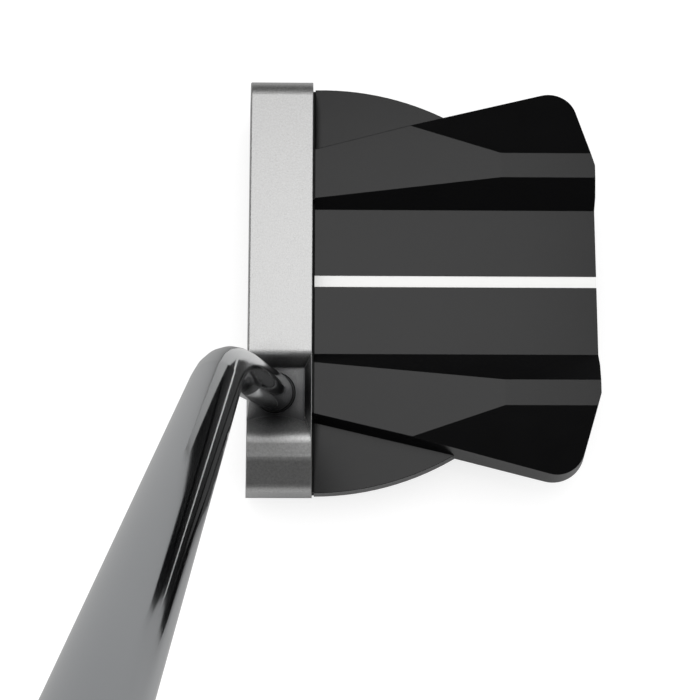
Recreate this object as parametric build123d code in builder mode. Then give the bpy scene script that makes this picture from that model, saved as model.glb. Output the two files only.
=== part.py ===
from build123d import *
import math
import os

# Mallet putter at address. Millimetres and degrees. The origin is on the flat of the sole, under the
# middle of the sight line; +X runs from the face to the back, +Y from heel to toe, +Z up.

os.makedirs("parts", exist_ok=True)

# ---- the club ----
CLUB_LENGTH = 864.0          # from the ground to the butt cap, along the shaft
LIE = 70.0                   # shaft to ground, seen from the front
LOFT = 3.0                   # face off the vertical
LOFT_PIVOT_Z = 20.8          # where the face crosses the head's front line

# ---- head, overall ----
HEAD_LENGTH = 104.4          # heel to toe
HEAD_DEPTH = 86.6            # face to back
TOPLINE_Z = 24.8
SEAM_GAP = 0.55              # gasket between the two bodies
GASKET_INSET = 0.3           # gasket inside the outline of the seam
REACH = 300.0                # longer than any cut needs

# ---- steel face body ----
BAR_DEPTH = 15.9
FACE_WALL = 4.2
TOP_SHELF = 3.6
BAR_FLOOR = 2.4
LEADING_Z = 3.2              # lower edge of the face
LEADING_BACK = 1.6           # sole bevel behind the leading edge
LEADING_LIFT = 0.8
SOLE_FRONT = 5.0             # where the sole's flat begins
END_BEVEL = 5.0              # sole bevel at heel and toe
TOE_ROUND = 4.5
CREST_INSET = 12.9           # heel end to the near edge of the crest
CREST_WIDTH = 5.7
CREST_DROP = 1.0
SLOPE_DROP = 4.4             # from the crest to the heel end
HEEL_ROUND = 4.0
CREST_ROUND = 5.0
EDGE_ROUND = 0.4

# ---- heel pocket ----
POCKET_LENGTH = 20.4         # along the bar, up to the crest
POCKET_BEVEL = 2.5           # depth of the sloped rim band
RIM_BAND_BACK = 1.7
RIM_BAND_TOE = 2.8
RIM_ROUND = 3.0
POCKET_STEP = 1.6            # upright drop inside the rim band, at the shaft
RAMP_WIDTH = 5.5             # from the floor up to the crest
RAMP_BOW = 1.5               # how far the foot of the ramp bows toward the shaft
FRONT_CHAMFER = 1.3

# ---- shaft and its socket ----
TIP_DIAMETER = 9.4
BUTT_DIAMETER = 14.7
SHAFT_WALL = 0.55
PARALLEL_TIP = 280.0
BOND_GAP = 0.1
TIP_LEAN_FORWARD = 5.1
TIP_LEAN_HEEL = 5.38
TIP_RISE = 83.4              # bend above the pocket floor
BEND_RADIUS = 200.0
SOCKET_X = 6.85              # behind the face, at the pocket floor
SOCKET_INSET = 24.35         # from the heel end, at the pocket floor
SOCKET_DEPTH = 16.0
SOCKET_CHAMFER = 0.3
SOCKET_FLARE = 45.0
TIP_PLUG_LENGTH = 8.0
TIP_PLUG_RISE = 5.0
PLUG_CLEARANCE = 0.03

# ---- lightening pockets behind the face ----
RIB_HALF = 5.0               # centre rib, which the centre screw enters
HEEL_BLOCK_INSET = 36.5      # heel end to the near side of the heel pocket block
TOE_BLOCK = 19.7             # solid stretch at the toe
MILL_RADIUS = 2.5
END_POCKET_Z = 12.0          # floor of the small pockets above the end screws
END_POCKET_DEPTH = 7.5
END_WALL = 3.6
END_POCKET_RADIUS = 1.5

# ---- aluminium rear body ----
DECK_Z = 22.0
DECK_MERGE = 1.0             # how far below the deck the lower body and its posts stop
DECK_HALF = 18.4
ARM_FRONT_Z = 24.2
ARM_INNER_FRONT = 20.3
ARM_OUTER_FRONT = 33.5
RIDGE_Z = 27.4
RIDGE_INNER = 25.5
RIDGE_OUTER = 31.8
RIDGE_LENGTH = 23.8
OUTER_FACET_SLOPE = 11.7
WING_UNDER_Z = 15.6
WING_TIP_HALF = 49.7         # where the wing's two outer edges would meet
WING_TIP_SETBACK = 6.4
WING_TIP_RADIUS = 7.0
BACK_CORNER_HALF = 28.8      # where the slanted back edge meets the straight one
WALL_DRAFT = 7.0

# ---- rounded lower body ----
FLANGE_INSET = 0.1           # rim inside the face body's ends, at the seam
FLANGE_RADIUS = 70.0
FLANGE_FRONT_Z = 15.8
FLANGE_SLOPE = 4.5
WAIST_Z = 7.5
SOLE_TAPER = 13.5
TAIL_HALF = 19.0
TAIL_SETBACK = 0.6

# ---- cavity, sole plate and what they hold ----
WING_POCKET_ROOF = 20.6
WING_POCKET_INSET = 3.0
WING_POCKET_WALL = 2.0
FRONT_WALL = 5.0
CAVITY_INSET = 4.6
FLANGE_SKIN = 2.6
DECK_SKIN = 2.9
ARM_SKIN = 2.7
ARM_POCKET_INSET = 3.2
ARM_POCKET_INNER = 21.5
PLATE_THICKNESS = 1.6
PLATE_INSET = 3.3
PLATE_CLEARANCE = 0.1
POST_RADIUS = 3.0
FRONT_POST_HALF = 14.7
POST_MERGE = 0.8             # how far a post runs into the wall beside it
PLATE_SCREW_DIAMETER = 2.5
PLATE_SCREW_HEAD = 4.7
PLATE_SCREW_SOCKET = 1.8     # tool recess, across flats
PLATE_SCREW_LENGTH = 8.0
PAD_END_GAP = 2.7            # from the cavity's front wall, and as much short of the ridges
PAD_WIDTH = 20.0
PAD_THICKNESS = 2.4
SIGHT_WIDTH = 2.85
SIGHT_DEPTH = 0.5
SIGHT_FILL = 0.42

# ---- joining the two bodies ----
BODY_SCREW_DIAMETER = 4.0
BODY_SCREW_HEAD = 7.0
BODY_SCREW_SOCKET = 3.2      # tool recess, across flats
BODY_SCREW_LENGTH = 13.0
BODY_SCREW_INSET = 10.7      # from the heel and toe ends
BODY_SCREW_Z = 8.0
PIN_DIAMETER = 3.0
PIN_LENGTH = 10.0
PIN_INSET = 15.7
SCREW_CLEARANCE = 0.15
THREAD_CLEARANCE = 0.04
PIN_CLEARANCE = 0.01

# ---- sole weights ----
WEIGHT_HEAD = 14.0
WEIGHT_HEAD_DEPTH = 3.0
WEIGHT_SHANK = 10.0
WEIGHT_LENGTH = 11.0
WEIGHT_BEHIND_SEAM = 19.5
WEIGHT_INSET = 20.2          # from the heel and toe ends
WEIGHT_SOCKET = 5.0          # tool recess, across flats
WEIGHT_SOCKET_DEPTH = 3.0
WEIGHT_SUNK = 0.2            # head below the sole
WEIGHT_CLEARANCE = 0.06
WEIGHT_HOLE_SPARE = 0.5      # hole beyond the end of the shank
BOSS_WALL = 2.2
RING_SECTION = 1.2
RING_CLEARANCE = 0.01

# ---- grip ----
GRIP_LENGTH = 267.0
GRIP_CAP = 3.0
CAP_PLUG_LENGTH = 9.0        # spigot of the end cap inside the shaft
CAP_CLEARANCE = 0.1
GRIP_SKIN = 1.6
GRIP_END_WALL = 3.0
TAPE_THICKNESS = 0.3
GRIP_BUTT = (31.0, 14.5, 19.0)      # width, flat side and round side from the shaft's axis
GRIP_MIDDLE = (28.0, 13.2, 15.6)
GRIP_MOUTH = (19.5, 9.4, 10.2)
GRIP_CORNER = 5.0

# ---- places worked out from the sizes above ----
FACE_X = -HEAD_DEPTH / 2
HALF = HEAD_LENGTH / 2
SEAM_X = BAR_DEPTH + SEAM_GAP
POCKET_TOE = -HALF + CREST_INSET + POCKET_LENGTH
CREST_START = -HALF + CREST_INSET
CREST_END = CREST_START - CREST_WIDTH
CREST_Z = TOPLINE_Z - CREST_DROP
HEEL_Z = CREST_Z - SLOPE_DROP
FLOOR_Z = TOPLINE_Z - POCKET_BEVEL - POCKET_STEP
FLANGE_HALF = HALF - FLANGE_INSET
RIDGE_FRONT = HEAD_DEPTH - RIDGE_LENGTH
BODY_SCREW_Y = (-HALF + BODY_SCREW_INSET, 0.0, HALF - BODY_SCREW_INSET)
PIN_Y = (-HALF + PIN_INSET, HALF - PIN_INSET)
CAVITY_FRONT = SEAM_X + FRONT_WALL
WEIGHT_X = SEAM_X + WEIGHT_BEHIND_SEAM
WEIGHT_Y = HALF - WEIGHT_INSET
BOSS_RADIUS = WEIGHT_HEAD / 2 + WEIGHT_CLEARANCE + BOSS_WALL
RING_BORE = WEIGHT_SHANK / 2 + RING_SECTION / 2


def level(z):
    """Horizontal plane at height z; its x is measured back from the face."""
    return Plane(origin=(FACE_X, 0, z))


def across(x):
    """Upright plane a distance x behind the face, looking back; its x runs toward the toe."""
    return Plane(origin=(FACE_X + x, 0, 0), x_dir=(0, 1, 0), z_dir=(1, 0, 0))


def lengthwise(y):
    """Upright plane along the sight line; its x is measured back from the face."""
    return upright(0, y)


def upright(x, y):
    """Upright plane through a point of the plan, for turned pieces that stand there."""
    return Plane(origin=(FACE_X + x, y, 0), x_dir=(1, 0, 0), z_dir=(0, -1, 0))


def along_shaft(point, direction):
    """Plane square to the shaft, with the grip's flat side along its y."""
    return Plane(origin=point, x_dir=(1, 0, 0), z_dir=direction)


def save(part, name):
    """Label a finished piece and write it."""
    part.label = name
    export_step(part, f"parts/{name}.step")


def face_x(z):
    """How far the lofted face stands behind the head's front line, at height z."""
    return (z - LOFT_PIVOT_Z) * math.tan(math.radians(LOFT))


# ---- shaft line: up from the socket, one bend, then straight at the lie angle ----
TIP_UP = Vector(
    -math.tan(math.radians(TIP_LEAN_FORWARD)),
    -math.tan(math.radians(TIP_LEAN_HEEL)),
    1,
).normalized()
SHAFT_UP = Vector(0, -math.cos(math.radians(LIE)), math.sin(math.radians(LIE)))
FLAT_SIDE = Vector(0, math.sin(math.radians(LIE)), math.cos(math.radians(LIE)))
SOCKET_MOUTH = Vector(FACE_X + SOCKET_X, -HALF + SOCKET_INSET, FLOOR_Z)
BEND_POINT = SOCKET_MOUTH + TIP_UP * (TIP_RISE / TIP_UP.Z)
TIP_POINT = SOCKET_MOUTH - TIP_UP * (SOCKET_DEPTH - BOND_GAP)
GROUND_TO_BEND = BEND_POINT.Z / math.sin(math.radians(LIE))
BUTT_POINT = BEND_POINT + SHAFT_UP * (CLUB_LENGTH - GRIP_CAP - GROUND_TO_BEND)
TAPER_START = BEND_POINT + SHAFT_UP * (PARALLEL_TIP - SOCKET_DEPTH - TIP_RISE)
TAPER_LENGTH = (BUTT_POINT - TAPER_START).length
TIP_RADIUS = TIP_DIAMETER / 2
BUTT_RADIUS = BUTT_DIAMETER / 2
SOCKET_RADIUS = TIP_RADIUS + BOND_GAP


def shaft_radius(from_butt):
    """Outer radius of the tapered shaft, a distance down from its butt."""
    return BUTT_RADIUS - (BUTT_RADIUS - TIP_RADIUS) * from_butt / TAPER_LENGTH


# ---- face body ----
def build_heel_pocket():
    """Cutter for the pocket round the shaft: rim band, ramp to the crest, floor square to the shaft."""
    rim_x = BAR_DEPTH - RIM_BAND_BACK
    toe_y = POCKET_TOE - RIM_BAND_TOE
    ramp_y = CREST_START + RAMP_WIDTH
    foot_y = ramp_y - RAMP_BOW
    front = -BAR_DEPTH
    chamfer_x = face_x(FLOOR_Z) + FRONT_CHAMFER
    rim_z = TOPLINE_Z - POCKET_BEVEL
    with BuildPart() as pocket:
        with BuildSketch(across(front)) as side_profile:
            with BuildLine():
                Polyline(
                    (CREST_END, CREST_Z),
                    (CREST_START, TOPLINE_Z),
                    (ramp_y, rim_z),
                    (toe_y, rim_z),
                    (POCKET_TOE, TOPLINE_Z),
                    (0, TOPLINE_Z),
                    (0, REACH),
                    (CREST_END, REACH),
                    close=True,
                )
            make_face()
            fillet(side_profile.vertices().sort_by_distance((CREST_START, TOPLINE_Z))[0], radius=CREST_ROUND)
            fillet(side_profile.vertices().sort_by_distance((POCKET_TOE, TOPLINE_Z))[0], radius=RIM_ROUND)
        extrude(amount=REACH)
        with BuildSketch(lengthwise(-REACH / 2)):
            Polygon(
                (front, rim_z),
                (rim_x, rim_z),
                (BAR_DEPTH, TOPLINE_Z),
                (BAR_DEPTH + RIM_BAND_BACK, TOPLINE_Z + POCKET_BEVEL),
                (front, TOPLINE_Z + POCKET_BEVEL),
                align=None,
            )
        extrude(amount=-REACH, mode=Mode.INTERSECT)
        with BuildSketch(lengthwise(toe_y)):
            Polygon(
                (chamfer_x, FLOOR_Z),
                (chamfer_x - BAR_DEPTH, FLOOR_Z - BAR_DEPTH),
                (chamfer_x - BAR_DEPTH, FLOOR_Z),
                align=None,
            )
        extrude(amount=toe_y - ramp_y)
    with BuildPart() as well:
        with BuildSketch(level(FLOOR_Z - POCKET_STEP)):
            with BuildLine():
                Polyline((0, foot_y), (front, foot_y), (front, toe_y), (rim_x, toe_y), (rim_x, foot_y))
                ThreePointArc((rim_x, foot_y), (rim_x / 2, ramp_y), (0, foot_y))
            make_face()
        extrude(amount=2 * POCKET_STEP + POCKET_BEVEL)
        split(bisect_by=Plane(origin=SOCKET_MOUTH, z_dir=TIP_UP), keep=Keep.TOP)
    with BuildPart() as cutter:
        add(pocket.part)
        add(well.part)
    return cutter.part


with BuildPart() as face_body:
    with BuildSketch(lengthwise(-HALF)):
        with BuildLine():
            Polyline(
                (face_x(LEADING_Z), LEADING_Z),
                (face_x(TOPLINE_Z), TOPLINE_Z),
                (BAR_DEPTH, TOPLINE_Z),
                (BAR_DEPTH, 0),
                (SOLE_FRONT, 0),
                (LEADING_BACK, LEADING_LIFT),
                close=True,
            )
        make_face()
    extrude(amount=-HEAD_LENGTH)
    with BuildSketch(across(-REACH / 2)) as front_view:
        with BuildLine():
            Polyline(
                (-HALF + END_BEVEL, 0),
                (HALF - END_BEVEL, 0),
                (HALF, END_BEVEL),
                (HALF, TOPLINE_Z),
                (CREST_START, TOPLINE_Z),
                (CREST_END, CREST_Z),
                (-HALF, HEEL_Z),
                (-HALF, END_BEVEL),
                close=True,
            )
        make_face()
        toe_corner = front_view.vertices().sort_by_distance((HALF, TOPLINE_Z))[0]
        fillet(toe_corner, radius=TOE_ROUND)
        crest_corner = front_view.vertices().sort_by_distance((CREST_END, CREST_Z))[0]
        fillet(crest_corner, radius=CREST_ROUND)
        heel_corner = front_view.vertices().sort_by_distance((-HALF, HEEL_Z))[0]
        fillet(heel_corner, radius=HEEL_ROUND)
    extrude(amount=REACH, mode=Mode.INTERSECT)
    top_front = face_body.edges().filter_by(Axis.Y).group_by(Axis.Z)[-1].sort_by(Axis.X)[0]
    fillet(top_front, radius=EDGE_ROUND)
    add(build_heel_pocket(), mode=Mode.SUBTRACT)
    with BuildSketch(across(FACE_WALL)):
        spans = ((-HALF + HEEL_BLOCK_INSET, -RIB_HALF), (RIB_HALF, HALF - TOE_BLOCK))
        for low_y, high_y in spans:
            with Locations(((low_y + high_y) / 2, (BAR_FLOOR + TOPLINE_Z - TOP_SHELF) / 2)):
                RectangleRounded(
                    high_y - low_y, TOPLINE_Z - TOP_SHELF - BAR_FLOOR, MILL_RADIUS
                )
    extrude(amount=BAR_DEPTH, mode=Mode.SUBTRACT)
    end_pockets = (
        (HALF - TOE_BLOCK + END_WALL, HALF - END_WALL, TOPLINE_Z - TOP_SHELF),
        (-HALF + END_WALL, CREST_START, HEEL_Z - TOP_SHELF),
    )
    for low_y, high_y, top_z in end_pockets:
        with BuildSketch(across(BAR_DEPTH)):
            with Locations(((low_y + high_y) / 2, (END_POCKET_Z + top_z) / 2)):
                RectangleRounded(high_y - low_y, top_z - END_POCKET_Z, END_POCKET_RADIUS)
        extrude(amount=-END_POCKET_DEPTH, mode=Mode.SUBTRACT)
    with BuildSketch(across(BAR_DEPTH)):
        with Locations(*[(y, BODY_SCREW_Z) for y in BODY_SCREW_Y]):
            Circle(BODY_SCREW_DIAMETER / 2 + THREAD_CLEARANCE)
    extrude(amount=-(BODY_SCREW_LENGTH - FRONT_WALL), mode=Mode.SUBTRACT)
    with BuildSketch(across(BAR_DEPTH)):
        with Locations(*[(y, BODY_SCREW_Z) for y in PIN_Y]):
            Circle(PIN_DIAMETER / 2 + PIN_CLEARANCE)
    extrude(amount=-PIN_LENGTH / 2, mode=Mode.SUBTRACT)
    with BuildSketch(along_shaft(SOCKET_MOUTH, TIP_UP)):
        Circle(SOCKET_RADIUS)
    extrude(amount=-SOCKET_DEPTH, mode=Mode.SUBTRACT)
    with BuildSketch(along_shaft(SOCKET_MOUTH - TIP_UP * SOCKET_CHAMFER, TIP_UP)):
        Circle(SOCKET_RADIUS)
    extrude(amount=2 * SOCKET_CHAMFER, taper=-SOCKET_FLARE, mode=Mode.SUBTRACT)
save(face_body.part, "face_body")


# ---- rear body ----
def draw_lower_body(inset, front):
    """Rounded lower outline, a distance inside its rim, from a given front line to the tail."""
    back = HEAD_DEPTH - TAIL_SETBACK - inset
    with Locations((SEAM_X, FLANGE_HALF - FLANGE_RADIUS)):
        Circle(FLANGE_RADIUS - inset)
    with Locations((SEAM_X, FLANGE_RADIUS - FLANGE_HALF)):
        Circle(FLANGE_RADIUS - inset, mode=Mode.INTERSECT)
    with Locations(((front + back) / 2, 0)):
        Rectangle(back - front, HEAD_LENGTH, mode=Mode.INTERSECT)
        Rectangle(back - front, 2 * (TAIL_HALF - inset))


def draw_upper_body():
    """Plan outline of deck, arms and wings at the top edge of their walls."""
    front = SEAM_X - FRONT_WALL
    tip_x = HEAD_DEPTH - WING_TIP_SETBACK
    run = tip_x - SEAM_X
    front_y = ARM_OUTER_FRONT - (WING_TIP_HALF - ARM_OUTER_FRONT) * FRONT_WALL / run
    Polygon(
        (front, -front_y),
        (tip_x, -WING_TIP_HALF),
        (HEAD_DEPTH, -BACK_CORNER_HALF),
        (HEAD_DEPTH, BACK_CORNER_HALF),
        (tip_x, WING_TIP_HALF),
        (front, front_y),
        align=None,
    )


def draw_arm_pockets(inner):
    """Keep only what lies under the arms and deck, outside a given half-width."""
    low = ARM_OUTER_FRONT - ARM_POCKET_INSET
    high = WING_TIP_HALF - ARM_POCKET_INSET
    tip_x = HEAD_DEPTH - WING_TIP_SETBACK
    Polygon(
        (SEAM_X, -low),
        (tip_x, -high),
        (tip_x, high),
        (SEAM_X, low),
        align=None,
        mode=Mode.INTERSECT,
    )
    if inner:
        Rectangle(2 * REACH, 2 * inner, mode=Mode.SUBTRACT)


def arm_z(x):
    """Height of the arms' top plane, a distance x behind the face."""
    rise = (RIDGE_Z - ARM_FRONT_Z) / (RIDGE_FRONT - SEAM_X)
    return ARM_FRONT_Z + rise * (x - SEAM_X)


def trough_section(x, inner, top):
    """Cross-section of the trough between the arms, open upward."""
    with BuildSketch(across(x)) as section:
        Polygon(
            (-DECK_HALF, DECK_Z),
            (DECK_HALF, DECK_Z),
            (inner, top),
            (inner, 2 * RIDGE_Z),
            (-inner, 2 * RIDGE_Z),
            (-inner, top),
            align=None,
        )
    return section.sketch


def plate_screw_places():
    """Where the sole plate's screws stand: x behind the face, y."""
    from_wall = POST_RADIUS - POST_MERGE
    tail_x = HEAD_DEPTH - TAIL_SETBACK - CAVITY_INSET - from_wall
    places = []
    for side in (-1, 1):
        places.append((CAVITY_FRONT + from_wall, side * FRONT_POST_HALF))
        places.append((RIDGE_FRONT - POST_RADIUS, side * DECK_HALF))
        places.append((tail_x, side * (TAIL_HALF - CAVITY_INSET - from_wall)))
    return places


WEIGHT_PLACES = ((WEIGHT_X, WEIGHT_Y), (WEIGHT_X, -WEIGHT_Y))
base_spread = (ARM_FRONT_Z - WING_UNDER_Z) * math.tan(math.radians(WALL_DRAFT))

with BuildPart() as rear_body:
    # deck, arms and wings, with drafted walls
    with BuildSketch(level(WING_UNDER_Z)) as upper_plan:
        draw_upper_body()
        wing_tips = upper_plan.vertices().filter_by(lambda v: abs(v.Y) > ARM_OUTER_FRONT)
        fillet(wing_tips, radius=WING_TIP_RADIUS)
        offset(amount=base_spread, kind=Kind.INTERSECTION)
    extrude(amount=2 * RIDGE_Z - WING_UNDER_Z, taper=WALL_DRAFT)
    with BuildSketch(level(0)):
        with Locations((HEAD_DEPTH + REACH / 2, 0)):
            Rectangle(REACH, REACH)
    extrude(amount=REACH, mode=Mode.SUBTRACT)
    # arms' top plane, ridge strip and outer facets
    with BuildSketch(lengthwise(-REACH / 2)):
        with BuildLine():
            Polyline(
                (0, arm_z(0)),
                (RIDGE_FRONT, RIDGE_Z),
                (2 * HEAD_DEPTH, RIDGE_Z),
                (2 * HEAD_DEPTH, REACH),
                (0, REACH),
                close=True,
            )
        make_face()
    extrude(amount=-REACH, mode=Mode.SUBTRACT)
    facet_drop = HEAD_LENGTH * math.tan(math.radians(OUTER_FACET_SLOPE))
    with BuildSketch(across(0)):
        for side in (-1, 1):
            with BuildLine():
                Polyline(
                    (side * RIDGE_OUTER, RIDGE_Z),
                    (side * (RIDGE_OUTER + HEAD_LENGTH), RIDGE_Z - facet_drop),
                    (side * (RIDGE_OUTER + HEAD_LENGTH), REACH),
                    (side * RIDGE_OUTER, REACH),
                    close=True,
                )
            make_face()
    extrude(amount=2 * HEAD_DEPTH, mode=Mode.SUBTRACT)
    # trough down to the deck, widening toward the ridges
    trough_front = trough_section(SEAM_X - FRONT_WALL, ARM_INNER_FRONT, arm_z(SEAM_X - FRONT_WALL))
    trough_back = trough_section(RIDGE_FRONT, RIDGE_INNER, RIDGE_Z)
    loft(sections=[trough_front, trough_back], ruled=True, mode=Mode.SUBTRACT)
    extrude(trough_back, amount=HEAD_DEPTH, mode=Mode.SUBTRACT)

with BuildPart() as lower_body:
    with BuildSketch(level(WAIST_Z)):
        draw_lower_body(0, SEAM_X - FRONT_WALL)
    extrude(amount=DECK_Z - DECK_MERGE - WAIST_Z)
    with BuildSketch(level(WAIST_Z)):
        draw_lower_body(0, SEAM_X - FRONT_WALL)
    extrude(amount=-WAIST_Z, taper=SOLE_TAPER)
    # flange top, gently rising to the back
    with BuildSketch(lengthwise(-REACH / 2)):
        with BuildLine():
            flange_rise = math.tan(math.radians(FLANGE_SLOPE))
            Polyline(
                (0, FLANGE_FRONT_Z - SEAM_X * flange_rise),
                (2 * HEAD_DEPTH, FLANGE_FRONT_Z + (2 * HEAD_DEPTH - SEAM_X) * flange_rise),
                (2 * HEAD_DEPTH, REACH),
                (0, REACH),
                close=True,
            )
        make_face()
    extrude(amount=-REACH, mode=Mode.SUBTRACT)

with rear_body:
    add(lower_body.part)
    # flat front wall at the seam
    with BuildSketch(level(0)):
        with Locations((SEAM_X - REACH / 2, 0)):
            Rectangle(REACH, REACH)
    extrude(amount=REACH, mode=Mode.SUBTRACT)
    # cavity, in three depths
    with BuildSketch(level(0)):
        draw_lower_body(CAVITY_INSET, CAVITY_FRONT)
    extrude(amount=FLANGE_FRONT_Z - FLANGE_SKIN, mode=Mode.SUBTRACT)
    for inner, roof in ((0, DECK_Z - DECK_SKIN), (ARM_POCKET_INNER, ARM_FRONT_Z - ARM_SKIN)):
        with BuildSketch(level(0)):
            draw_lower_body(CAVITY_INSET, CAVITY_FRONT)
            draw_arm_pockets(inner)
        extrude(amount=roof, mode=Mode.SUBTRACT)
    # hollows under the wings, outside the lower body
    with BuildSketch(level(0)):
        draw_upper_body()
        offset(amount=-WING_POCKET_INSET, kind=Kind.INTERSECTION)
        with BuildSketch(level(0), mode=Mode.SUBTRACT):
            draw_lower_body(-WING_POCKET_WALL, SEAM_X - FRONT_WALL)
    extrude(amount=WING_POCKET_ROOF, mode=Mode.SUBTRACT)
    # weight bosses and plate screw posts, back up to the skin
    with BuildSketch(level(0)):
        with Locations(*WEIGHT_PLACES):
            Circle(BOSS_RADIUS)
    extrude(amount=FLANGE_FRONT_Z)
    with BuildSketch(level(PLATE_THICKNESS)):
        with Locations(*plate_screw_places()):
            Circle(POST_RADIUS)
    extrude(amount=DECK_Z - DECK_MERGE - PLATE_THICKNESS)
    # ledge for the sole plate, round the bosses
    with BuildSketch(level(0)):
        draw_lower_body(PLATE_INSET, CAVITY_FRONT - CAVITY_INSET + PLATE_INSET)
        with Locations(*WEIGHT_PLACES):
            Circle(BOSS_RADIUS, mode=Mode.SUBTRACT)
    extrude(amount=PLATE_THICKNESS, mode=Mode.SUBTRACT)
    # weight holes: head recess, ring groove and thread
    with BuildSketch(level(0)):
        with Locations(*WEIGHT_PLACES):
            Circle(WEIGHT_HEAD / 2 + WEIGHT_CLEARANCE)
    extrude(amount=WEIGHT_SUNK + WEIGHT_HEAD_DEPTH, mode=Mode.SUBTRACT)
    with BuildSketch(level(0)):
        with Locations(*WEIGHT_PLACES):
            Circle(WEIGHT_SHANK / 2 + WEIGHT_CLEARANCE)
    extrude(amount=WEIGHT_SUNK + WEIGHT_LENGTH + WEIGHT_HOLE_SPARE, mode=Mode.SUBTRACT)
    with BuildSketch(level(WEIGHT_SUNK + WEIGHT_HEAD_DEPTH)):
        with Locations(*WEIGHT_PLACES):
            Circle(WEIGHT_SHANK / 2 + RING_SECTION + WEIGHT_CLEARANCE)
    extrude(amount=RING_SECTION, mode=Mode.SUBTRACT)
    # holes for plate screws, body screws and pins
    with BuildSketch(level(PLATE_THICKNESS)):
        with Locations(*plate_screw_places()):
            Circle(PLATE_SCREW_DIAMETER / 2 + THREAD_CLEARANCE)
    extrude(amount=PLATE_SCREW_LENGTH, mode=Mode.SUBTRACT)
    with BuildSketch(across(SEAM_X)):
        with Locations(*[(y, BODY_SCREW_Z) for y in BODY_SCREW_Y]):
            Circle(BODY_SCREW_DIAMETER / 2 + SCREW_CLEARANCE)
    extrude(amount=FRONT_WALL, mode=Mode.SUBTRACT)
    with BuildSketch(across(SEAM_X)):
        with Locations(*[(y, BODY_SCREW_Z) for y in PIN_Y]):
            Circle(PIN_DIAMETER / 2 + PIN_CLEARANCE)
    extrude(amount=PIN_LENGTH / 2 - SEAM_GAP, mode=Mode.SUBTRACT)
    # sight line groove
    with BuildSketch(level(DECK_Z - SIGHT_DEPTH)):
        with Locations((HEAD_DEPTH / 2, 0)):
            Rectangle(2 * HEAD_DEPTH, SIGHT_WIDTH)
    extrude(amount=2 * SIGHT_DEPTH, mode=Mode.SUBTRACT)
save(rear_body.part, "rear_body")

with BuildPart() as sight_line_fill:
    with BuildSketch(level(DECK_Z - SIGHT_DEPTH)):
        with Locations(((SEAM_X + HEAD_DEPTH) / 2, 0)):
            Rectangle(HEAD_DEPTH - SEAM_X, SIGHT_WIDTH)
    extrude(amount=SIGHT_FILL)
save(sight_line_fill.part, "sight_line_fill")

# ---- gasket in the seam ----
with BuildPart() as damping_gasket:
    with BuildSketch(across(BAR_DEPTH)):
        gasket_low = WAIST_Z * math.tan(math.radians(SOLE_TAPER)) + GASKET_INSET
        with BuildLine():
            Polyline(
                (FLANGE_HALF - gasket_low, GASKET_INSET),
                (FLANGE_HALF - GASKET_INSET, WAIST_Z),
                (FLANGE_HALF - GASKET_INSET, FLANGE_FRONT_Z - GASKET_INSET),
                (-FLANGE_HALF + GASKET_INSET, FLANGE_FRONT_Z - GASKET_INSET),
                (-FLANGE_HALF + GASKET_INSET, WAIST_Z),
                (-FLANGE_HALF + gasket_low, GASKET_INSET),
                close=True,
            )
        make_face()
        with Locations((0, DECK_Z / 2)):
            Rectangle(2 * ARM_INNER_FRONT, DECK_Z - 2 * (SIGHT_DEPTH + GASKET_INSET))
        for side in (-1, 1):
            with Locations((side * (ARM_INNER_FRONT + ARM_OUTER_FRONT) / 2, ARM_FRONT_Z / 2)):
                Rectangle(
                    ARM_OUTER_FRONT - ARM_INNER_FRONT - 2 * GASKET_INSET,
                    ARM_FRONT_Z - 2 * GASKET_INSET,
                )
        with Locations(*[(y, BODY_SCREW_Z) for y in BODY_SCREW_Y]):
            Circle(BODY_SCREW_DIAMETER / 2 + SCREW_CLEARANCE, mode=Mode.SUBTRACT)
        with Locations(*[(y, BODY_SCREW_Z) for y in PIN_Y]):
            Circle(PIN_DIAMETER / 2 + PIN_CLEARANCE, mode=Mode.SUBTRACT)
    extrude(amount=SEAM_GAP)
save(damping_gasket.part, "damping_gasket")

# ---- fasteners between the bodies ----
with BuildPart() as body_screws:
    with BuildSketch(across(CAVITY_FRONT)):
        with Locations(*[(y, BODY_SCREW_Z) for y in BODY_SCREW_Y]):
            Circle(BODY_SCREW_DIAMETER / 2)
    extrude(amount=-(BODY_SCREW_LENGTH - THREAD_CLEARANCE))
    with BuildSketch(across(CAVITY_FRONT)):
        with Locations(*[(y, BODY_SCREW_Z) for y in BODY_SCREW_Y]):
            Circle(BODY_SCREW_HEAD / 2)
    extrude(amount=BODY_SCREW_DIAMETER)
    with BuildSketch(across(CAVITY_FRONT + BODY_SCREW_DIAMETER)):
        with Locations(*[(y, BODY_SCREW_Z) for y in BODY_SCREW_Y]):
            RegularPolygon(radius=BODY_SCREW_SOCKET / 2, side_count=6, major_radius=False)
    extrude(amount=-BODY_SCREW_DIAMETER / 2, mode=Mode.SUBTRACT)
save(body_screws.part, "body_screws")

with BuildPart() as locating_pins:
    with BuildSketch(across(BAR_DEPTH - PIN_LENGTH / 2)):
        with Locations(*[(y, BODY_SCREW_Z) for y in PIN_Y]):
            Circle(PIN_DIAMETER / 2)
    extrude(amount=PIN_LENGTH)
save(locating_pins.part, "locating_pins")

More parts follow.
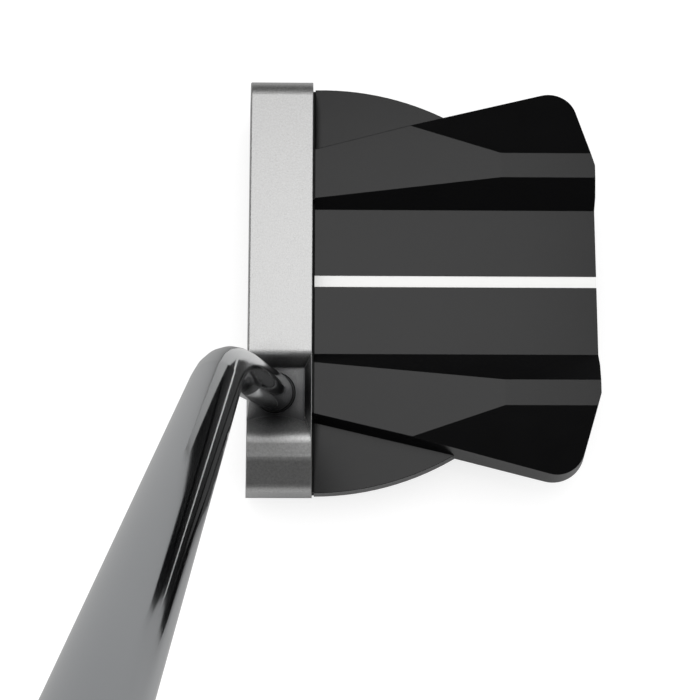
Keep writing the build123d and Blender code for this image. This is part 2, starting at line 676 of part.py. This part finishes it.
# ---- sole plate and its screws ----
with BuildPart() as sole_plate:
    with BuildSketch(level(0)):
        plate_inset = PLATE_INSET + PLATE_CLEARANCE
        draw_lower_body(plate_inset, CAVITY_FRONT - CAVITY_INSET + plate_inset)
        with Locations(*WEIGHT_PLACES):
            Circle(BOSS_RADIUS + PLATE_CLEARANCE, mode=Mode.SUBTRACT)
    extrude(amount=PLATE_THICKNESS)
    with Locations(Plane(origin=(FACE_X, 0, 0), x_dir=(1, 0, 0), z_dir=(0, 0, -1))):
        with Locations(*[(x, -y) for x, y in plate_screw_places()]):
            CounterSinkHole(
                radius=PLATE_SCREW_DIAMETER / 2 + SCREW_CLEARANCE,
                counter_sink_radius=PLATE_SCREW_HEAD / 2 + PLATE_CLEARANCE,
                depth=PLATE_THICKNESS,
                counter_sink_angle=90,
            )
save(sole_plate.part, "sole_plate")

with BuildPart() as sole_plate_screws:
    head_depth = (PLATE_SCREW_HEAD - PLATE_SCREW_DIAMETER) / 2
    for place in plate_screw_places():
        with BuildSketch(upright(*place)):
            with BuildLine():
                Polyline(
                    (0, 0),
                    (PLATE_SCREW_HEAD / 2, 0),
                    (PLATE_SCREW_DIAMETER / 2, head_depth),
                    (PLATE_SCREW_DIAMETER / 2, PLATE_SCREW_LENGTH),
                    (0, PLATE_SCREW_LENGTH),
                    close=True,
                )
            make_face()
        revolve(axis=Axis((FACE_X + place[0], place[1], 0), (0, 0, 1)))
    with BuildSketch(level(0)):
        with Locations(*plate_screw_places()):
            RegularPolygon(radius=PLATE_SCREW_SOCKET / 2, side_count=6, major_radius=False)
    extrude(amount=PLATE_SCREW_DIAMETER / 2, mode=Mode.SUBTRACT)
save(sole_plate_screws.part, "sole_plate_screws")

with BuildPart() as damping_pad:
    pad_x = (CAVITY_FRONT + RIDGE_FRONT) / 2
    pad_length = RIDGE_FRONT - CAVITY_FRONT - 2 * PAD_END_GAP
    with BuildSketch(level(DECK_Z - DECK_SKIN)):
        with Locations((pad_x, 0)):
            RectangleRounded(pad_length, PAD_WIDTH, MILL_RADIUS)
    extrude(amount=-PAD_THICKNESS)
save(damping_pad.part, "damping_pad")


# ---- sole weights and their rings ----
def build_weight(y):
    """Screw-in weight: head, threaded shank and tool recess, sunk just below the sole."""
    with BuildPart() as weight:
        with BuildSketch(level(WEIGHT_SUNK)):
            with Locations((WEIGHT_X, y)):
                Circle(WEIGHT_HEAD / 2)
        extrude(amount=WEIGHT_HEAD_DEPTH)
        with BuildSketch(level(WEIGHT_SUNK + WEIGHT_HEAD_DEPTH)):
            with Locations((WEIGHT_X, y)):
                Circle(WEIGHT_SHANK / 2)
        extrude(amount=WEIGHT_LENGTH - WEIGHT_HEAD_DEPTH)
        chamfer(weight.edges().group_by(Axis.Z)[0], length=EDGE_ROUND)
        chamfer(weight.edges().group_by(Axis.Z)[-1], length=EDGE_ROUND)
        with BuildSketch(level(WEIGHT_SUNK)):
            with Locations((WEIGHT_X, y)):
                RegularPolygon(radius=WEIGHT_SOCKET / 2, side_count=6, major_radius=False)
        extrude(amount=WEIGHT_SOCKET_DEPTH, mode=Mode.SUBTRACT)
    return weight.part


def build_ring(y):
    """Rubber ring round the weight's shank, in its groove above the head."""
    with BuildPart() as ring:
        with BuildSketch(upright(WEIGHT_X, y)):
            with Locations((RING_BORE, WEIGHT_SUNK + WEIGHT_HEAD_DEPTH + RING_SECTION / 2)):
                Circle(RING_SECTION / 2 - RING_CLEARANCE)
        revolve(axis=Axis((FACE_X + WEIGHT_X, y, 0), (0, 0, 1)))
    return ring.part


for end_name, weight_y in (("toe", WEIGHT_Y), ("heel", -WEIGHT_Y)):
    save(build_weight(weight_y), f"{end_name}_weight")
    save(build_ring(weight_y), f"{end_name}_weight_ring")

# ---- shaft ----
with BuildPart() as shaft:
    with BuildLine() as shaft_route:
        FilletPolyline(TIP_POINT, BEND_POINT, TAPER_START, radius=BEND_RADIUS)
    with BuildSketch(along_shaft(TIP_POINT, TIP_UP)):
        Circle(TIP_RADIUS)
        Circle(TIP_RADIUS - SHAFT_WALL, mode=Mode.SUBTRACT)
    sweep(path=shaft_route.wires()[0])
    with BuildSketch(Plane(origin=TAPER_START, x_dir=(1, 0, 0), z_dir=FLAT_SIDE * -1)):
        with BuildLine():
            Polyline(
                (TIP_RADIUS - SHAFT_WALL, 0),
                (TIP_RADIUS, 0),
                (BUTT_RADIUS, TAPER_LENGTH),
                (BUTT_RADIUS - SHAFT_WALL, TAPER_LENGTH),
                close=True,
            )
        make_face()
    revolve(axis=Axis(TAPER_START, SHAFT_UP))
save(shaft.part, "shaft")

with BuildPart() as shaft_bond:
    with BuildSketch(along_shaft(SOCKET_MOUTH, TIP_UP)):
        Circle(SOCKET_RADIUS)
    extrude(amount=-SOCKET_DEPTH)
    with BuildSketch(along_shaft(TIP_POINT, TIP_UP)):
        Circle(TIP_RADIUS)
    extrude(amount=SOCKET_DEPTH, mode=Mode.SUBTRACT)
save(shaft_bond.part, "shaft_bond")

with BuildPart() as shaft_tip_plug:
    with BuildSketch(along_shaft(TIP_POINT + TIP_UP * TIP_PLUG_RISE, TIP_UP)):
        Circle(TIP_RADIUS - SHAFT_WALL - PLUG_CLEARANCE)
    extrude(amount=TIP_PLUG_LENGTH)
save(shaft_tip_plug.part, "shaft_tip_plug")


# ---- grip ----
def grip_section(from_butt, size, shrink):
    """Grip section square to the shaft: flat front with rounded corners, round back."""
    half_width = size[0] / 2 - shrink
    flat = size[1] - shrink
    round_centre = half_width + shrink - size[2]
    middle = BUTT_POINT - SHAFT_UP * from_butt
    with BuildSketch(along_shaft(middle, SHAFT_UP)) as section:
        with Locations((0, round_centre)):
            Circle(half_width)
        with Locations((0, (round_centre + flat) / 2)):
            Rectangle(2 * half_width, flat - round_centre)
        front_corners = section.vertices().sort_by(Axis.Y)[-2:]
        fillet(front_corners, radius=GRIP_CORNER - shrink)
    return section.sketch


def grip_body(start, end, shrink):
    """Loft through the grip's three sections, from start to end below the butt."""
    with BuildPart() as body:
        loft(
            sections=[
                grip_section(end, GRIP_MOUTH, shrink),
                grip_section(GRIP_LENGTH / 2, GRIP_MIDDLE, shrink),
                grip_section(start, GRIP_BUTT, shrink),
            ]
        )
    return body.part


def taper_cone(start, end, extra):
    """Solid cone on the shaft's taper, thicker by extra, from start to end below the butt."""
    base = BUTT_POINT - SHAFT_UP * end
    with BuildPart() as cone:
        with BuildSketch(Plane(origin=base, x_dir=(1, 0, 0), z_dir=FLAT_SIDE * -1)):
            Polygon(
                (0, 0),
                (shaft_radius(end) + extra, 0),
                (shaft_radius(start) + extra, end - start),
                (0, end - start),
                align=None,
            )
        revolve(axis=Axis(base, SHAFT_UP))
    return cone.part


with BuildPart() as grip_tape:
    add(taper_cone(GRIP_END_WALL, GRIP_LENGTH - GRIP_END_WALL, TAPE_THICKNESS))
    add(taper_cone(0, GRIP_LENGTH, 0), mode=Mode.SUBTRACT)
save(grip_tape.part, "grip_tape")

with BuildPart() as grip_core:
    add(grip_body(GRIP_END_WALL, GRIP_LENGTH - GRIP_END_WALL, GRIP_SKIN))
    add(taper_cone(0, GRIP_LENGTH, TAPE_THICKNESS), mode=Mode.SUBTRACT)
save(grip_core.part, "grip_core")

with BuildPart() as grip_cover:
    add(grip_body(0, GRIP_LENGTH, 0))
    add(grip_body(GRIP_END_WALL, GRIP_LENGTH - GRIP_END_WALL, GRIP_SKIN), mode=Mode.SUBTRACT)
    add(taper_cone(-GRIP_CAP, GRIP_LENGTH + GRIP_CAP, 0), mode=Mode.SUBTRACT)
save(grip_cover.part, "grip_cover")

with BuildPart() as grip_end_cap:
    extrude(grip_section(0, GRIP_BUTT, 0), amount=GRIP_CAP)
    cap_rim = grip_end_cap.faces().sort_by(Axis(BUTT_POINT, SHAFT_UP))[-1].edges()
    fillet(cap_rim, radius=GRIP_CAP / 2)
    with BuildSketch(along_shaft(BUTT_POINT, SHAFT_UP)):
        Circle(BUTT_RADIUS - SHAFT_WALL - CAP_CLEARANCE)
    extrude(amount=-CAP_PLUG_LENGTH)
save(grip_end_cap.part, "grip_end_cap")
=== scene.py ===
import math

import bmesh
import bpy
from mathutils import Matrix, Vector
from mathutils.bvhtree import BVHTree


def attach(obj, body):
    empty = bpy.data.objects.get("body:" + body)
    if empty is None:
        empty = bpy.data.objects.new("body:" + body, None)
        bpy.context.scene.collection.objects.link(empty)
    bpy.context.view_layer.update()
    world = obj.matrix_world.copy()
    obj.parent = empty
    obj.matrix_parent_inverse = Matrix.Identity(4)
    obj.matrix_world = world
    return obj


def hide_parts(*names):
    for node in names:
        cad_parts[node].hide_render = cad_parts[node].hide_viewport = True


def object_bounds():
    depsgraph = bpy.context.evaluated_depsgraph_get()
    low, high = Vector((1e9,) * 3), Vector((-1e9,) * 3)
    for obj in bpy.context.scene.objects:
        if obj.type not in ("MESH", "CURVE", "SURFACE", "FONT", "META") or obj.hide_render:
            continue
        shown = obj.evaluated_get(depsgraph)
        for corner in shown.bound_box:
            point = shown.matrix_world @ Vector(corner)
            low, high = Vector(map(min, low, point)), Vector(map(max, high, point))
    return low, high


# Mallet putter at address, seen from above: a bead-blasted steel face body, a black anodised
# aluminium rear body with a white sight line, and a bent black-chromed shaft. Metres throughout.

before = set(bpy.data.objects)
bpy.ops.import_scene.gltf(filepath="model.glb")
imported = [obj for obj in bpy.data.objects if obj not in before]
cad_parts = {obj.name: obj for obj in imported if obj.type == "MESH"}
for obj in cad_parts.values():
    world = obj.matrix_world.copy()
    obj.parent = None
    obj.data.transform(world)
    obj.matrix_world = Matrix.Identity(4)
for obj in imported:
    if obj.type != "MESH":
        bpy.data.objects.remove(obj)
cad_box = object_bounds()

MM = 0.001
DEGREE = math.pi / 180

# ---- camera: above the heel side, looking almost straight down ----
CAMERA_PLACE = (-24.7 * MM, -93.4 * MM, 414.2 * MM)
CAMERA_TURN = (10.97 * DEGREE, -0.98 * DEGREE, 0.03 * DEGREE)
CAMERA_LENS = 83.4           # on a 36 mm sensor
SENSOR = 36.0

# ---- grip: axis of the straight shaft, and the moulded pattern ----
LIE = 70 * DEGREE
SHAFT_UP = Vector((0, -math.cos(LIE), math.sin(LIE)))
FLAT_SIDE = Vector((0, math.sin(LIE), math.cos(LIE)))
GRIP_BUTT = (-43.89 * MM, -292.3 * MM, 809.1 * MM)
GRIP_SKIN = 1.6 * MM
GRIP_LIP = 0.5 * MM          # how far the skin's outer edge turns in at each end
GRIP_END_GAP = 0.02 * MM
GRIP_REACH = 50 * MM         # rays start this far from the axis, outside the grip
GRIP_DEPTH = 0.6 * MM
GRIP_FRONT_COS = 0.86        # the flat front spans the turns whose cosine is above this
GRIP_RIB_PITCH = 3.6 * MM
GRIP_RIB_SHARE = 0.45        # rib depth as a share of the dimples' depth
GRIP_ROW_PITCH = 3.8 * MM
GRIP_COLUMNS = 20
GRIP_SAMPLES = 8             # mesh steps to each dimple, along and around
GRIP_PLAIN_END = 1.2         # dimple rows left smooth at each end
DIMPLE_RADIUS = 0.72         # as a share of half a pitch
DIMPLE_WALL = 2.2            # how steeply a dimple's wall falls to its floor

# ---- studio ----
FLOOR_HALF = 40.0
FLOOR_GREY = 0.42
FLOOR_GLOW = 0.68
ROOM_LIGHT = 0.9
CEILING_IN_REFLECTIONS = 0.04
WALLS_IN_REFLECTIONS = 0.9   # in front of the club and behind it
WALL_TOP = 0.42              # sine of the height above the horizon where the walls have faded out
OVERHEAD_HEIGHT = 1.2
OVERHEAD_CENTRE = (-0.02, 0.25)
OVERHEAD_SIZE = (0.66, 0.62)
OVERHEAD_RADIANCE = 2.7


# ---------------------------------------------------------------- materials
def new_material(name):
    """New material; returns it, its node tree and its principled shader."""
    material = bpy.data.materials.new(name)
    material.use_nodes = True
    tree = material.node_tree
    shader = next(n for n in tree.nodes if n.type == "BSDF_PRINCIPLED")
    return material, tree, shader


def add_node(tree, kind, **settings):
    """Shader node with properties and input values set by name."""
    node = tree.nodes.new(kind)
    for name, value in settings.items():
        if hasattr(node, name):
            setattr(node, name, value)
        else:
            node.inputs[name.replace("_", " ")].default_value = value
    return node


def place(tree):
    """Coordinates fixed to the piece, in metres."""
    return add_node(tree, "ShaderNodeTexCoord").outputs["Object"]


def noise(tree, size, detail=3.0, roughness=0.55, stretch=None):
    """Noise with features about size metres across, 0 to 1."""
    source = place(tree)
    if stretch:
        mapping = add_node(tree, "ShaderNodeMapping")
        mapping.inputs["Scale"].default_value = stretch
        tree.links.new(source, mapping.inputs["Vector"])
        source = mapping.outputs["Vector"]
    node = add_node(tree, "ShaderNodeTexNoise", Scale=1 / size, Detail=detail, Roughness=roughness)
    tree.links.new(source, node.inputs["Vector"])
    return node.outputs["Fac"]


def spread(tree, source, low, high, start=0.0, end=1.0):
    """Map a factor from start..end to low..high."""
    node = add_node(tree, "ShaderNodeMapRange")
    node.inputs["From Min"].default_value = start
    node.inputs["From Max"].default_value = end
    node.inputs["To Min"].default_value = low
    node.inputs["To Max"].default_value = high
    tree.links.new(source, node.inputs["Value"])
    return node.outputs["Result"]


def math_node(tree, operation, first, second):
    """One arithmetic step; either side may be a number."""
    node = add_node(tree, "ShaderNodeMath", operation=operation)
    for socket, value in zip(node.inputs, (first, second)):
        if isinstance(value, (int, float)):
            socket.default_value = value
        else:
            tree.links.new(value, socket)
    return node.outputs[0]


def blend_colours(tree, factor, first, second):
    """Colour between first and second by factor."""
    node = add_node(tree, "ShaderNodeMix", data_type="RGBA")
    tree.links.new(factor, node.inputs["Factor"])
    for socket, value in ((node.inputs[6], first), (node.inputs[7], second)):
        if isinstance(value, tuple):
            socket.default_value = (*value, 1.0)
        else:
            tree.links.new(value, socket)
    return node.outputs[2]


def bump(tree, height, strength, distance, normal=None):
    """Bump normal from a height factor; distance is its depth in metres."""
    node = add_node(tree, "ShaderNodeBump", Strength=strength, Distance=distance)
    tree.links.new(height, node.inputs["Height"])
    if normal is not None:
        tree.links.new(normal, node.inputs["Normal"])
    return node.outputs["Normal"]


def edge_mask(tree, radius, low, high):
    """1 along convex and concave edges, 0 on open faces."""
    rounded = add_node(tree, "ShaderNodeBevel", samples=6, Radius=radius)
    geometry = add_node(tree, "ShaderNodeNewGeometry")
    dot = add_node(tree, "ShaderNodeVectorMath", operation="DOT_PRODUCT")
    tree.links.new(rounded.outputs["Normal"], dot.inputs[0])
    tree.links.new(geometry.outputs["Normal"], dot.inputs[1])
    return spread(tree, dot.outputs["Value"], 1.0, 0.0, low, high)


def soft_edges(tree, radius):
    """Normal rounded over the piece's edges."""
    return add_node(tree, "ShaderNodeBevel", samples=8, Radius=radius).outputs["Normal"]


def wire(tree, shader, **sources):
    """Link sources to the shader's sockets by name."""
    for name, source in sources.items():
        tree.links.new(source, shader.inputs[name.replace("_", " ")])


def settle(shader, **values):
    """Set constants on the shader's own sockets."""
    for name, value in values.items():
        socket = shader.inputs[name.replace("_", " ")]
        socket.default_value = (*value, 1.0) if isinstance(value, tuple) else value


def blasted_steel():
    """Bead-blasted stainless steel: satin grey with a fine sparkle, with painted shade darkening it in
    recesses and next to other parts.
    """
    material, tree, shader = new_material("blasted_steel")
    settle(shader, Metallic=1.0)
    grain = noise(tree, 0.55 * MM, detail=3.0, roughness=0.7)
    fine = spread(tree, grain, 0.0, 1.0, 0.32, 0.68)
    base = blend_colours(tree, fine, (0.56, 0.56, 0.557), (0.74, 0.74, 0.736))
    # painted shade: ambient occlusion turns the colour near black (0.07) in recesses, corners and next to
    # other parts; edge wear is laid over it
    occlusion_probe = add_node(tree, "ShaderNodeAmbientOcclusion", samples=8, Distance=9 * MM)
    painted_shade_mask = spread(tree, occlusion_probe.outputs["AO"], 1.0, 0.0, 0.6, 0.97)
    base_with_painted_shade = blend_colours(tree, painted_shade_mask, base, (0.07, 0.07, 0.072))
    worn_over_painted_shade = blend_colours(tree, edge_mask(tree, 0.25 * MM, 0.80, 0.98), base_with_painted_shade, (0.66, 0.66, 0.66))
    rough = spread(tree, fine, 0.41, 0.47)
    dimples = bump(tree, noise(tree, 0.3 * MM, detail=2.0), 0.9, 0.03 * MM, soft_edges(tree, 0.3 * MM))
    wire(tree, shader, Base_Color=worn_over_painted_shade, Roughness=rough, Normal=dimples)
    return material


def black_anodised():
    """Black hard-anodised aluminium with a very fine satin grain."""
    material, tree, shader = new_material("black_anodised")
    settle(shader, IOR=1.35)
    cloud = noise(tree, 9 * MM)
    grain = noise(tree, 0.18 * MM, detail=1.0)
    base = blend_colours(tree, cloud, (0.0020, 0.0020, 0.0022), (0.0030, 0.0030, 0.0032))
    rubbed = blend_colours(tree, edge_mask(tree, 0.2 * MM, 0.75, 0.97), base, (0.010, 0.010, 0.0105))
    rough = math_node(tree, "ADD", spread(tree, cloud, 0.20, 0.23), spread(tree, grain, -0.02, 0.02))
    texture = bump(tree, grain, 0.08, 0.01 * MM, soft_edges(tree, 0.18 * MM))
    wire(tree, shader, Base_Color=rubbed, Roughness=rough, Normal=texture)
    return material


def black_chrome():
    """Black chrome over polished steel."""
    material, tree, shader = new_material("black_chrome")
    settle(shader, Metallic=1.0)
    cloud = noise(tree, 30 * MM)
    draw = noise(tree, 0.4 * MM, detail=2.0, stretch=(1.0, 1.0, 0.05))
    base = blend_colours(tree, cloud, (0.45, 0.465, 0.48), (0.49, 0.505, 0.52))
    rough = math_node(tree, "ADD", spread(tree, cloud, 0.05, 0.08), spread(tree, draw, -0.01, 0.01))
    texture = bump(tree, draw, 0.03, 0.004 * MM)
    wire(tree, shader, Base_Color=base, Roughness=rough, Normal=texture)
    return material


def white_paint():
    """White enamel filled into a groove: slightly wavy surface."""
    material, tree, shader = new_material("white_paint")
    settle(shader, IOR=1.5)
    cloud = noise(tree, 4 * MM)
    base = blend_colours(tree, cloud, (0.80, 0.80, 0.79), (0.86, 0.86, 0.85))
    wave = bump(tree, noise(tree, 1.2 * MM), 0.3, 0.03 * MM)
    wire(tree, shader, Base_Color=base, Roughness=spread(tree, cloud, 0.28, 0.4), Normal=wave)
    return material


def plain_polymer(name, dark, light, rough, grain_size, depth):
    """Rubber or plastic: two tones, a grain and uneven sheen."""
    material, tree, shader = new_material(name)
    cloud = noise(tree, 8 * MM)
    grain = noise(tree, grain_size)
    wire(
        tree,
        shader,
        Base_Color=blend_colours(tree, cloud, dark, light),
        Roughness=spread(tree, cloud, rough - 0.05, rough + 0.05),
        Normal=bump(tree, grain, 0.4, depth),
    )
    return material


def plain_metal(name, dark, light, rough, grain_size, stretch=None):
    """Turned or rolled metal: two tones, fine tool marks."""
    material, tree, shader = new_material(name)
    settle(shader, Metallic=1.0)
    cloud = noise(tree, 5 * MM)
    marks = noise(tree, grain_size, detail=2.0, stretch=stretch)
    rubbed = edge_mask(tree, 0.15 * MM, 0.75, 0.97)
    base = blend_colours(tree, cloud, dark, light)
    lighter = tuple(min(1.0, 1.4 * c + 0.02) for c in light)
    wire(
        tree,
        shader,
        Base_Color=blend_colours(tree, rubbed, base, lighter),
        Roughness=spread(tree, marks, rough - 0.06, rough + 0.06),
        Normal=bump(tree, marks, 0.15, 0.01 * MM),
    )
    return material


def grip_rubber():
    """Soft-touch grip skin: matte, with pores finer than the moulded pattern."""
    material, tree, shader = new_material("grip_skin")
    cloud = noise(tree, 14 * MM)
    pores = noise(tree, 0.5 * MM, detail=4.0)
    base = blend_colours(tree, cloud, (0.020, 0.020, 0.021), (0.032, 0.032, 0.033))
    wire(
        tree,
        shader,
        Base_Color=base,
        Roughness=spread(tree, pores, 0.62, 0.80),
        Normal=bump(tree, pores, 0.5, 0.06 * MM),
    )
    return material


MATERIALS = {
    "face_body": blasted_steel(),
    "rear_body": black_anodised(),
    "shaft": black_chrome(),
    "sight_line_fill": white_paint(),
    "sole_plate": plain_metal("plate_anodised", (0.02, 0.02, 0.021), (0.03, 0.03, 0.031), 0.38,
                              0.3 * MM, (1.0, 0.06, 1.0)),
    "sole_plate_screws": plain_metal("screw_steel", (0.30, 0.30, 0.30), (0.38, 0.38, 0.37), 0.30, 0.2 * MM),
    "toe_weight": plain_metal("weight_steel", (0.50, 0.50, 0.49), (0.58, 0.58, 0.57), 0.26, 0.25 * MM),
    "toe_weight_ring": plain_polymer("ring_rubber", (0.01, 0.01, 0.01), (0.02, 0.02, 0.02), 0.6,
                                     0.3 * MM, 0.02 * MM),
    "damping_gasket": plain_polymer("gasket_rubber", (0.006, 0.006, 0.006), (0.01, 0.01, 0.01), 0.7,
                                    0.3 * MM, 0.02 * MM),
    "damping_pad": plain_polymer("pad_rubber", (0.02, 0.02, 0.02), (0.03, 0.03, 0.03), 0.75,
                                 0.6 * MM, 0.05 * MM),
    "shaft_bond": plain_polymer("adhesive", (0.010, 0.010, 0.010), (0.02, 0.02, 0.02), 0.4,
                                0.4 * MM, 0.03 * MM),
    "shaft_tip_plug": plain_polymer("plug_plastic", (0.03, 0.03, 0.03), (0.05, 0.05, 0.05), 0.45,
                                    0.4 * MM, 0.02 * MM),
    "grip_tape": plain_polymer("tape_fabric", (0.35, 0.34, 0.30), (0.45, 0.43, 0.38), 0.85,
                               0.3 * MM, 0.05 * MM),
    "grip_core": plain_polymer("grip_foam", (0.05, 0.05, 0.05), (0.08, 0.08, 0.08), 0.9,
                               0.5 * MM, 0.1 * MM),
    "grip_cover": grip_rubber(),
    "grip_end_cap": plain_polymer("cap_rubber", (0.010, 0.010, 0.010), (0.018, 0.018, 0.018), 0.55,
                                  0.35 * MM, 0.03 * MM),
}
MATERIALS["body_screws"] = MATERIALS["sole_plate_screws"]
MATERIALS["locating_pins"] = MATERIALS["sole_plate_screws"]
MATERIALS["heel_weight"] = MATERIALS["toe_weight"]
MATERIALS["heel_weight_ring"] = MATERIALS["toe_weight_ring"]

for name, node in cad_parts.items():
    node.data.materials.clear()
    node.data.materials.append(MATERIALS[name])


# ---------------------------------------------------------------- grip cover
def pattern_depth(along, turn):
    """Depth of the moulded pattern, 0 to 1: staggered dimples behind, fine ribs on the flat front."""
    front = math.cos(turn)
    if front > GRIP_FRONT_COS:
        return GRIP_RIB_SHARE * max(0.0, math.sin(2 * math.pi * along / GRIP_RIB_PITCH)) ** 2
    row = along / GRIP_ROW_PITCH
    column = turn / (2 * math.pi) * GRIP_COLUMNS + 0.5 * (math.floor(row) % 2)
    across = 2 * abs(column % 1 - 0.5)
    down = 2 * abs(row % 1 - 0.5)
    inside = 1 - math.hypot(1 - across, 1 - down) / DIMPLE_RADIUS
    return min(1.0, DIMPLE_WALL * max(0.0, inside))


def make_grip_cover():
    """Grip skin on the CAD one's outer surface, with its moulded pattern sunk into it."""
    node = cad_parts["grip_cover"]
    corners = [v.co.copy() for v in node.data.vertices]
    skin = BVHTree.FromPolygons(corners, [tuple(p.vertices) for p in node.data.polygons])
    butt = Vector(GRIP_BUTT)
    along = [(c - butt).dot(-SHAFT_UP) for c in corners]
    start = min(along) + GRIP_END_GAP
    length = max(along) - start - GRIP_END_GAP
    rows = int(length / GRIP_ROW_PITCH * GRIP_SAMPLES)
    sides = GRIP_COLUMNS * GRIP_SAMPLES

    def outer(distance, turn):
        outward = math.cos(turn) * FLAT_SIDE + math.sin(turn) * Vector((1, 0, 0))
        axis = butt - SHAFT_UP * distance
        return skin.ray_cast(axis + outward * GRIP_REACH, -outward)[0], outward

    mesh = bmesh.new()
    rings = []
    for row in range(rows + 1):
        distance = start + length * row / rows
        fade = min(1.0, max(0.0, min(row, rows - row) / GRIP_SAMPLES - GRIP_PLAIN_END))
        lip = GRIP_LIP if row in (0, rows) else 0.0
        ring = []
        for side in range(sides):
            turn = 2 * math.pi * side / sides
            point, outward = outer(distance, turn)
            sunk = lip + GRIP_DEPTH * fade * pattern_depth(distance, turn)
            ring.append(mesh.verts.new(point - outward * sunk))
        rings.append(ring)
    inner = []
    for distance in (start + length, start):
        ring = []
        for side in range(sides):
            point, outward = outer(distance, 2 * math.pi * side / sides)
            ring.append(mesh.verts.new(point - outward * GRIP_SKIN))
        inner.append(ring)
    rings += inner
    for first, second in zip(rings, rings[1:] + rings[:1]):
        for side in range(sides):
            after = (side + 1) % sides
            mesh.faces.new((first[side], first[after], second[after], second[side]))
    bmesh.ops.recalc_face_normals(mesh, faces=mesh.faces)
    data = bpy.data.meshes.new("grip_skin")
    mesh.to_mesh(data)
    mesh.free()
    for polygon in data.polygons:
        polygon.use_smooth = True
    data.materials.append(MATERIALS["grip_cover"])
    cover = bpy.data.objects.new("grip_skin", data)
    bpy.context.scene.collection.objects.link(cover)
    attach(cover, "club")
    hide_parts("grip_cover")


make_grip_cover()


# ---------------------------------------------------------------- studio
def add_camera():
    """Camera at the photograph's viewing angle."""
    data = bpy.data.cameras.new("camera")
    data.sensor_width = SENSOR
    data.lens = CAMERA_LENS
    data.clip_start = 0.01
    data.clip_end = 100.0
    camera = bpy.data.objects.new("camera", data)
    camera.location = CAMERA_PLACE
    camera.rotation_euler = CAMERA_TURN
    bpy.context.scene.collection.objects.link(camera)
    bpy.context.scene.camera = camera


def add_floor():
    """Plain pale floor; its glow is seen by the camera only, so it doesn't light the club."""
    mesh = bpy.data.meshes.new("floor")
    h = FLOOR_HALF
    mesh.from_pydata([(-h, -h, 0), (h, -h, 0), (h, h, 0), (-h, h, 0)], [], [(0, 1, 2, 3)])
    floor = bpy.data.objects.new("floor", mesh)
    floor.location.z = cad_box[0].z - 0.02 * MM
    bpy.context.scene.collection.objects.link(floor)
    material, tree, shader = new_material("floor_paper")
    settle(shader, Roughness=0.9, Emission_Color=(1.0, 1.0, 1.0))
    shader.inputs["Specular IOR Level"].default_value = 0.0
    seen = add_node(tree, "ShaderNodeLightPath").outputs["Is Camera Ray"]
    tone = noise(tree, 0.2)
    wire(
        tree,
        shader,
        Base_Color=spread(tree, tone, FLOOR_GREY - 0.005, FLOOR_GREY + 0.005),
        Emission_Strength=math_node(tree, "MULTIPLY", seen, FLOOR_GLOW),
    )
    mesh.materials.append(material)


def add_panel(name, centre, target, size, radiance):
    """Rectangular soft light aimed at a point, given by how bright its face looks."""
    data = bpy.data.lights.new(name, "AREA")
    data.shape = "RECTANGLE"
    data.size, data.size_y = size
    data.energy = radiance * math.pi * size[0] * size[1]
    light = bpy.data.objects.new(name, data)
    light.location = centre
    light.rotation_mode = "QUATERNION"
    light.rotation_quaternion = (Vector(target) - Vector(centre)).to_track_quat("-Z", "Y")
    bpy.context.scene.collection.objects.link(light)
    return light


def add_room():
    """Pale room, dimmer in reflections than where matte surfaces and the camera see it."""
    world = bpy.data.worlds.new("room")
    world.use_nodes = True
    tree = world.node_tree
    background = next(n for n in tree.nodes if n.type == "BACKGROUND")
    background.inputs["Color"].default_value = (1.0, 1.0, 1.0, 1.0)
    height = add_node(tree, "ShaderNodeSeparateXYZ")
    tree.links.new(add_node(tree, "ShaderNodeTexCoord").outputs["Generated"], height.inputs[0])
    wall = spread(tree, height.outputs["Z"], WALLS_IN_REFLECTIONS, 0.0, 0.0, WALL_TOP)
    along = math_node(tree, "MULTIPLY", height.outputs["X"], height.outputs["X"])
    mirrored = math_node(tree, "ADD", math_node(tree, "MULTIPLY", wall, along), CEILING_IN_REFLECTIONS)
    glossy = add_node(tree, "ShaderNodeLightPath").outputs["Is Glossy Ray"]
    strength = add_node(tree, "ShaderNodeMix")
    strength.inputs["A"].default_value = ROOM_LIGHT
    tree.links.new(glossy, strength.inputs["Factor"])
    tree.links.new(mirrored, strength.inputs["B"])
    tree.links.new(strength.outputs["Result"], background.inputs["Strength"])
    bpy.context.scene.world = world


add_camera()
add_floor()
add_room()
add_panel(
    "overhead",
    (*OVERHEAD_CENTRE, OVERHEAD_HEIGHT),
    (*OVERHEAD_CENTRE, 0.0),
    OVERHEAD_SIZE,
    OVERHEAD_RADIANCE,
)
bpy.context.scene.view_settings.view_transform = "Standard"
